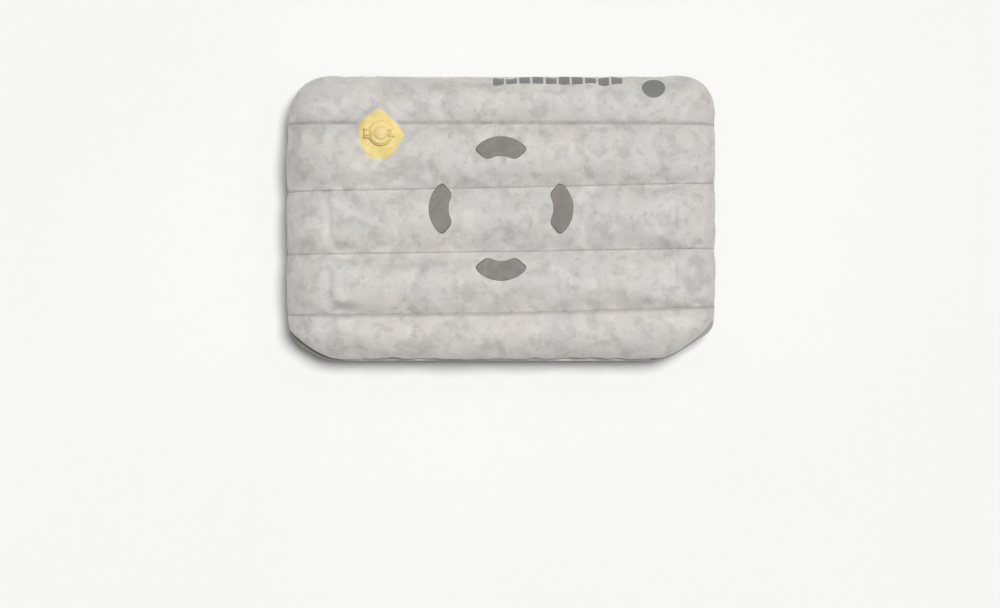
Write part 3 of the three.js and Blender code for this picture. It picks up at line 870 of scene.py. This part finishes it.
def patch_outline(share):
    """A grip patch pointing along +Y from the ring's centre: its outline and the curve it closes on.

    share sizes it. Each half, over and under, runs from the right end's waist to the left one's."""
    half, inner = PATCH_WIDTH / 2 * share, PATCH_INNER_WIDTH / 2 * share
    margin = PATCH_HEIGHT * (1 - share) / 2
    outer_centre = Vector((0, PATCH_RADIUS - margin - PATCH_OUTER))
    inner_y = PATCH_RADIUS - PATCH_HEIGHT + margin - math.sqrt(PATCH_INNER**2 - inner**2)
    inner_centre = Vector((0, inner_y))

    def on_arc(centre, radius, x):
        return Vector((x, centre.y + math.sqrt(radius**2 - x**2)))

    def half_line(before, corner, after, centre, radius, steps):
        """From the waist round a corner and along an arc to its top, then the mirror of that."""
        turn = math.asin(after.x / radius)
        leans = [turn * (1 - k / steps) for k in range(steps + 1)]
        points = [waist, *bend(before, corner, after)]
        points += [centre + radius * Vector((math.sin(lean), math.cos(lean))) for lean in leans]
        mirrored = [Vector((-p.x, p.y)) for p in reversed(points[:-1])]
        return spaced(points + mirrored, HALF_POINTS)

    tip, heel = on_arc(outer_centre, PATCH_OUTER, half), on_arc(inner_centre, PATCH_INNER, inner)
    end, before_heel = tip.lerp(heel, TIP_START), tip.lerp(heel, HEEL_START)
    waist = before_heel.lerp(end, 0.5)
    top = on_arc(outer_centre, PATCH_OUTER, half * TIP_ARC)
    bottom = on_arc(inner_centre, PATCH_INNER, inner * HEEL_ARC)
    over = half_line(end, tip, top, outer_centre, PATCH_OUTER, OUTER_STEPS)
    under = half_line(before_heel, heel, bottom, inner_centre, PATCH_INNER, INNER_STEPS)
    middle = [(a + b) / 2 for a, b in zip(over, under)]
    last = HALF_POINTS - 1
    core = [middle[min(max(k, CORE_INSET), last - CORE_INSET)] for k in range(HALF_POINTS)]
    return over[:-1] + under[:0:-1], core[:-1] + core[:0:-1]


def turned(points, degrees):
    """Plan points turned about the patch ring's centre and moved onto it."""
    angle = math.radians(degrees - 90)
    cos, sin = math.cos(angle), math.sin(angle)
    return [PATCH_CENTRE + Vector((p.x * cos - p.y * sin, p.x * sin + p.y * cos)) for p in points]


def contains(outline, point):
    """Whether a plan point lies inside an outline."""
    found = False
    for a, b in zip(outline, outline[1:] + outline[:1]):
        if (a.y > point.y) != (b.y > point.y):
            if point.x < a.x + (point.y - a.y) * (b.x - a.x) / (b.y - a.y):
                found = not found
    return found


def rounded_rim(full, from_share, least):
    """A layer's thickness by share: full inside, with a quarter-round at its rim."""
    def thickness(share):
        out = max(0, share - from_share) / (1 - from_share)
        return max(full * math.sqrt(1 - out * out), least)

    return thickness


def add_loop(work, foot, turn, radius):
    """One short yarn that arches over its foot and goes in at both ends."""
    along = Vector((math.cos(turn), math.sin(turn), 0))
    side = Vector((-along.y, along.x, 0))
    rings = []
    for step in range(LOOP_STEPS + 1):
        lean = math.pi * (step / LOOP_STEPS * 1.2 - 0.1)
        out = along * math.cos(lean) + Vector((0, 0, 1)) * math.sin(lean)
        middle = foot + out * radius
        corners = [out * YARN, side * YARN, -out * YARN, -side * YARN]
        rings.append([work.verts.new(middle + corner) for corner in corners])
    for first, second in zip(rings, rings[1:]):
        for k in range(4):
            after = (k + 1) % 4
            work.faces.new([first[k], first[after], second[after], second[k]])
    work.faces.new(rings[0][::-1])
    work.faces.new(rings[-1])


def pile_loops(made, ground, outline, lift, seed):
    """Short looped yarns standing all over a pile sheet, joined into its mesh."""
    draw = random.Random(seed)
    low = Vector((min(p.x for p in outline), min(p.y for p in outline)))
    high = Vector((max(p.x for p in outline), max(p.y for p in outline)))
    with edited(made) as work:
        for row in range(int((high.y - low.y) / LOOP_ROW) + 1):
            y = low.y + row * LOOP_ROW
            x = low.x + (row % 2) * LOOP_PITCH / 2
            while x < high.x:
                shift = [draw.uniform(-LOOP_JITTER, LOOP_JITTER) for _ in range(2)]
                turn = draw.uniform(0, math.pi)
                size = draw.uniform(0.85, 1.15)
                at = Vector((x + shift[0], y + shift[1]))
                x += LOOP_PITCH
                if contains(outline, at):
                    foot = Vector((*at, ground.height(*at) + lift))
                    add_loop(work, foot, turn, LOOP_RADIUS * size)
    made.data.shade_smooth()


def patch_layer(name, ground, degrees, share, thickness, lift):
    """One layer of a grip patch in its place on the ring."""
    outline, core = (turned(points, degrees) for points in patch_outline(share))
    return layer(name, ground, outline, core, RING_SHARES, thickness, lift)


def grip_patches(ground):
    """The four patches on their ring: each a welded backing with a looped pile on it."""
    backing_rim = rounded_rim(BACKING, 0.95, RIM_LEAST)
    pile_rim = rounded_rim(PILE, 0.96, RIM_LEAST)
    for name, degrees in PATCH_SIDES.items():
        backing = patch_layer(f"backing_{name}", ground, degrees, 1, backing_rim, BACKING_LIFT)
        dress(backing, "patch_film", f"patch_backing_{name}")
        pile = patch_layer(f"pile_{name}", ground, degrees, PILE_SHARE, pile_rim, PILE_LIFT)
        loops_outline = turned(patch_outline(LOOPS_SHARE)[0], degrees)
        pile_loops(pile, ground, loops_outline, PILE_LIFT + PILE, degrees)
        dress(pile, "patch_pile", f"patch_pile_{name}")


# ---- The valve's film ----

# The film's corners about the valve's axis: x, y and rounding, in mm.
FILM_CORNERS = [(-2, 28.5, 7), (-24.3, 11, 6), (-24.3, -11, 6)]
FILM_CORNERS += [(-11.5, -27, 6), (8.5, -27, 6), (25.5, 0.5, 5)]
FILM = 0.3 * MM
FILM_LIFT = 0.04 * MM
FILM_WAVER = 0.035  # share by which its edge wavers
FILM_WAVER_SIZE = 9 * MM
FILM_SHARES = [1, 0.985, 0.96, 0.92, 0.86, 0.78, 0.68, 0.56, 0.44, 0.3, 0.16, 0]


def film_outline():
    """The film's outline about the valve's axis, with its corners rounded."""
    corners = [(Vector((x, y)) * MM, rounding * MM) for x, y, rounding in FILM_CORNERS]
    points = []
    for k, (corner, rounding) in enumerate(corners):
        before = corners[k - 1][0]
        after, after_rounding = corners[(k + 1) % len(corners)]
        start = corner + (before - corner).normalized() * rounding
        end = corner + (after - corner).normalized() * rounding
        stop = after + (corner - after).normalized() * after_rounding
        points += bend(start, corner, end)
        points += [end.lerp(stop, k / BEND_STEPS) for k in range(BEND_STEPS)]
    return points


def valve_surround(ground):
    """The welded film round the valve. Its edge wavers a little, and it thins out into the fabric."""
    outline, core = [], []
    for point in film_outline():
        waver = 1 + FILM_WAVER * noise.noise(Vector((*point, 0)) / FILM_WAVER_SIZE)
        outline.append(VALVE + point * waver)
        core.append(VALVE + point.normalized() * FILM_HOLE)
    thickness = rounded_rim(FILM, 0.6, 0.02 * MM)
    made = layer("valve_surround", ground, outline, core, FILM_SHARES, thickness, FILM_LIFT, open_core=True)
    dress(made, "valve_film", "valve_flange")


# ---- Inside: foam and baffles ----

FOAM_INSET = 3 * MM
FOAM_ENDS = 6  # grid steps left empty at the rim
SEAT_DEPTH = 4 * MM  # the foam's room under the valve's seat
BARREL_DEPTH = 14 * MM  # and under its barrel
BARREL_ROOM = 19 * MM  # the radius kept free round the barrel
SEAT_ROOM = SEAT_BLEND + 6 * MM
BARREL_CLEAR = 3 * MM  # from the barrel's lower end down to the film that passes under it
BAFFLE = 0.4 * MM
BAFFLE_STEPS = 10
BAFFLE_SLACK = 0.4 * MM
BAFFLE_WAVE = 25 * MM


def inset(points, over, distance):
    """A grid of surface points moved into the body along the surface's own normals."""
    along, across = np.gradient(points, axis=0), np.gradient(points, axis=1)
    normals = np.cross(along, across) * over
    normals /= np.maximum(np.linalg.norm(normals, axis=2, keepdims=True), TINY)
    return points - normals * distance


def under_valve(points):
    """The foam's upper surface pressed down for the valve's seat and barrel."""
    away = np.hypot(points[:, :, 0] - VALVE.x, points[:, :, 1] - VALVE.y)
    room = SEAT_Z - np.where(away < BARREL_ROOM, BARREL_DEPTH, SEAT_DEPTH)
    lowered = np.minimum(points[:, :, 2], room)
    points[:, :, 2] = np.where(away < SEAT_ROOM, lowered, points[:, :, 2])
    return points


def foam_bars(upper, lower):
    """One foam bar for each channel, just inside the fabric and clear of the valve."""
    tops, bases = under_valve(inset(upper, 1, FOAM_INSET)), inset(lower, -1, FOAM_INSET)
    bounds = [0, *WELD_ROWS, NY - 1]
    for number, (first, last) in enumerate(zip(bounds, bounds[1:]), 1):
        low = first + (FOAM_ENDS if first == 0 else 1)
        high = last - (FOAM_ENDS if last == NY - 1 else 1)
        top = tops[FOAM_ENDS:NX - FOAM_ENDS, low:high + 1]
        base = bases[FOAM_ENDS:NX - FOAM_ENDS, low:high + 1]
        columns, rows = top.shape[:2]
        numbers = np.arange(columns * rows).reshape(columns, rows)
        under = numbers + columns * rows
        faces = grid_faces(numbers) + grid_faces(under, flipped=True)
        loop = edge_loop(columns, rows)
        for a, b in zip(loop, loop[1:] + loop[:1]):
            faces.append([int(n) for n in (under[a], under[b], numbers[b], numbers[a])])
        made = new_object(f"foam_bar_{number}", np.vstack([top.reshape(-1, 3), base.reshape(-1, 3)]), faces)
        shade_smooth(made, sharp_from=40)
        dress(made, "foam", f"foam_core_{number}")


def baffles(upper, lower):
    """The cross baffles: thin films from each upper weld line to the lower one, with a slack wave.

    The last one passes by the valve, where it is cut down to clear the barrel."""
    clear_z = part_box("valve_seat")[0].z - BARREL_CLEAR
    columns = [i for i in range(NX) if abs(upper[i, WELD_ROWS[0]][0]) < WELD_REACH]
    for name, j in zip(BAFFLES, WELD_ROWS):
        vertices = []
        for i in columns:
            high = upper[i, j].copy()
            kept = smooth((from_valve(high[0], high[1]) - BARREL_ROOM) / CUT_RUN)
            high[2] = min(high[2], clear_z + (high[2] - clear_z) * kept)
            for step in range(BAFFLE_STEPS + 1):
                share = step / BAFFLE_STEPS
                at = (1 - share) * high + share * lower[i, j]
                at[2] -= (1 - 2 * share) * FABRIC
                wave = noise.noise(Vector((at[0] / BAFFLE_WAVE, share * 2, j)))
                at[1] += BAFFLE_SLACK * math.sin(math.pi * share) * wave
                vertices.append(at)
        numbers = np.arange(len(vertices)).reshape(len(columns), BAFFLE_STEPS + 1)
        made = new_object(f"{name}_film", vertices, grid_faces(numbers))
        applied(made, "SOLIDIFY", thickness=BAFFLE, offset=0)
        shade_smooth(made, sharp_from=50)
        dress(made, "baffle_film", name)


# ---- The valve's hard parts ----

EDGE_ROUND = 0.2 * MM
EDGE_ANGLE = 40
SMOOTH_ANGLE = 35
VALVE_SLOTS = {
    "valve_body": ["valve_seat", "valve_backing_ring", "inflate_cap"],
    "valve_lid": ["dump_plug"],
    "silicone": ["dump_gasket", "one_way_flap"],
    "pin": ["dump_hinge_pin", "cap_hinge_pin"],
}


def smooth_by_angle(degrees):
    """A modifier's node group that shades a CAD part smooth, apart from edges sharper than an angle."""
    group = bpy.data.node_groups.new("smooth_by_angle", "GeometryNodeTree")
    for way in ("INPUT", "OUTPUT"):
        group.interface.new_socket("Geometry", in_out=way, socket_type="NodeSocketGeometry")
    add, link = group.nodes.new, group.links.new
    start, end = add("NodeGroupInput"), add("NodeGroupOutput")
    flat_normals = add("GeometryNodeRemoveAttribute")
    flat_normals.inputs["Name"].default_value = "custom_normal"
    faces, edges = add("GeometryNodeSetShadeSmooth"), add("GeometryNodeSetShadeSmooth")
    edges.domain = "EDGE"
    edges.inputs["Shade Smooth"].default_value = False
    angle = add("GeometryNodeInputMeshEdgeAngle")
    sharp = add("FunctionNodeCompare")
    sharp.operation = "GREATER_THAN"
    sharp.inputs["B"].default_value = math.radians(degrees)
    link(start.outputs[0], flat_normals.inputs["Geometry"])
    link(flat_normals.outputs["Geometry"], faces.inputs["Geometry"])
    link(faces.outputs[0], edges.inputs["Geometry"])
    link(angle.outputs["Unsigned Angle"], sharp.inputs["A"])
    link(sharp.outputs["Result"], edges.inputs["Selection"])
    link(edges.outputs[0], end.inputs[0])
    return group


def valve_parts():
    """The valve's CAD nodes, with rounded edges and moulded materials."""
    smooth_faces = smooth_by_angle(SMOOTH_ANGLE)
    for slot, names in VALVE_SLOTS.items():
        for part in (nodes[name] for name in names):
            part.material_slots[0].material = MATERIALS[slot]
            part.modifiers.new("Joined faces", "WELD").merge_threshold = MERGE
            edges = part.modifiers.new("Moulded edges", "BEVEL")
            edges.width = EDGE_ROUND
            edges.segments = 2
            edges.limit_method = "ANGLE"
            edges.angle_limit = math.radians(EDGE_ANGLE)
            part.modifiers.new("Smooth faces", "NODES").node_group = smooth_faces


# ---- Floor, light and camera ----

FLOOR = 30  # half its width, in metres
CAMERA_HEIGHT = 4.0  # high above, with a long lens
FIELD = 0.977  # metres across the picture at the pillow's middle height
AIM = Vector((-0.001, -0.0835, 0.06))


def floor():
    """A wide white ground."""
    graph = Graph("studio_floor", 0.9, **{"Specular IOR Level": 0.1})
    colour = graph.mix(graph.noise(0.4, 2), srgb(252, 252, 251), srgb(250, 250, 249))
    corners = [(x * FLOOR, y * FLOOR, 0) for x, y in ((-1, -1), (1, -1), (1, 1), (-1, 1))]
    made = new_object("floor", corners, [[0, 1, 2, 3]])
    made.data.materials.append(graph.finish(colour, graph.bump(graph.noise(0.01, 2), 0.0001, 0.2)))


def sun(strength, tilt_x, tilt_y, softness):
    """Even light from overhead, tilted by two angles in degrees."""
    data = bpy.data.lights.new("key", "SUN")
    data.energy = strength
    data.angle = math.radians(softness)
    made = bpy.data.objects.new("key", data)
    made.rotation_euler = (math.radians(tilt_x), math.radians(tilt_y), 0)
    bpy.context.scene.collection.objects.link(made)


def sky(level):
    """Even white light from all round."""
    world = bpy.data.worlds.new("studio_sky")
    world.use_nodes = True
    background = world.node_tree.nodes["Background"]
    background.inputs["Color"].default_value = (1, 1, 1, 1)
    background.inputs["Strength"].default_value = level
    bpy.context.scene.world = world


def camera():
    """A camera straight above, looking down."""
    data = bpy.data.cameras.new("camera")
    data.sensor_width = 36
    data.lens = data.sensor_width * (CAMERA_HEIGHT - AIM.z) / FIELD
    made = bpy.data.objects.new("camera", data)
    made.location = (AIM.x, AIM.y, CAMERA_HEIGHT)
    bpy.context.scene.collection.objects.link(made)
    bpy.context.scene.camera = made


# ---- Assembly ----


def panel(name, points, over):
    """One fabric panel before it has any thickness."""
    made = shell(name, points, over)
    applied(made, "SUBSURF", levels=1, render_levels=1)
    return crumpled(made, over)


def finish_panel(made, slot, node):
    """A panel with its thickness and its material."""
    applied(made, "SOLIDIFY", thickness=FABRIC, offset=-1)
    shade_smooth(made, sharp_from=60)
    dress(made, slot, node)


upper, lower = start_shape()
upper, lower = inflate(upper, lower)
lower[:, :, 2] = np.maximum(lower[:, :, 2], REST_GAP)

top = panel("top_fabric", upper, 1)
ground = Ground(top)
finish_panel(with_barrel_hole(top), "printed_fabric", "top_panel")
finish_panel(panel("base_fabric_panel", lower, -1), "base_fabric", "bottom_panel")
foam_bars(upper, lower)
baffles(upper, lower)
grip_patches(ground)
valve_surround(ground)
valve_parts()

floor()
sun(strength=2.5, tilt_x=-8, tilt_y=8, softness=15)
sky(level=0.19)
camera()
bpy.context.scene.view_settings.view_transform = "Standard"
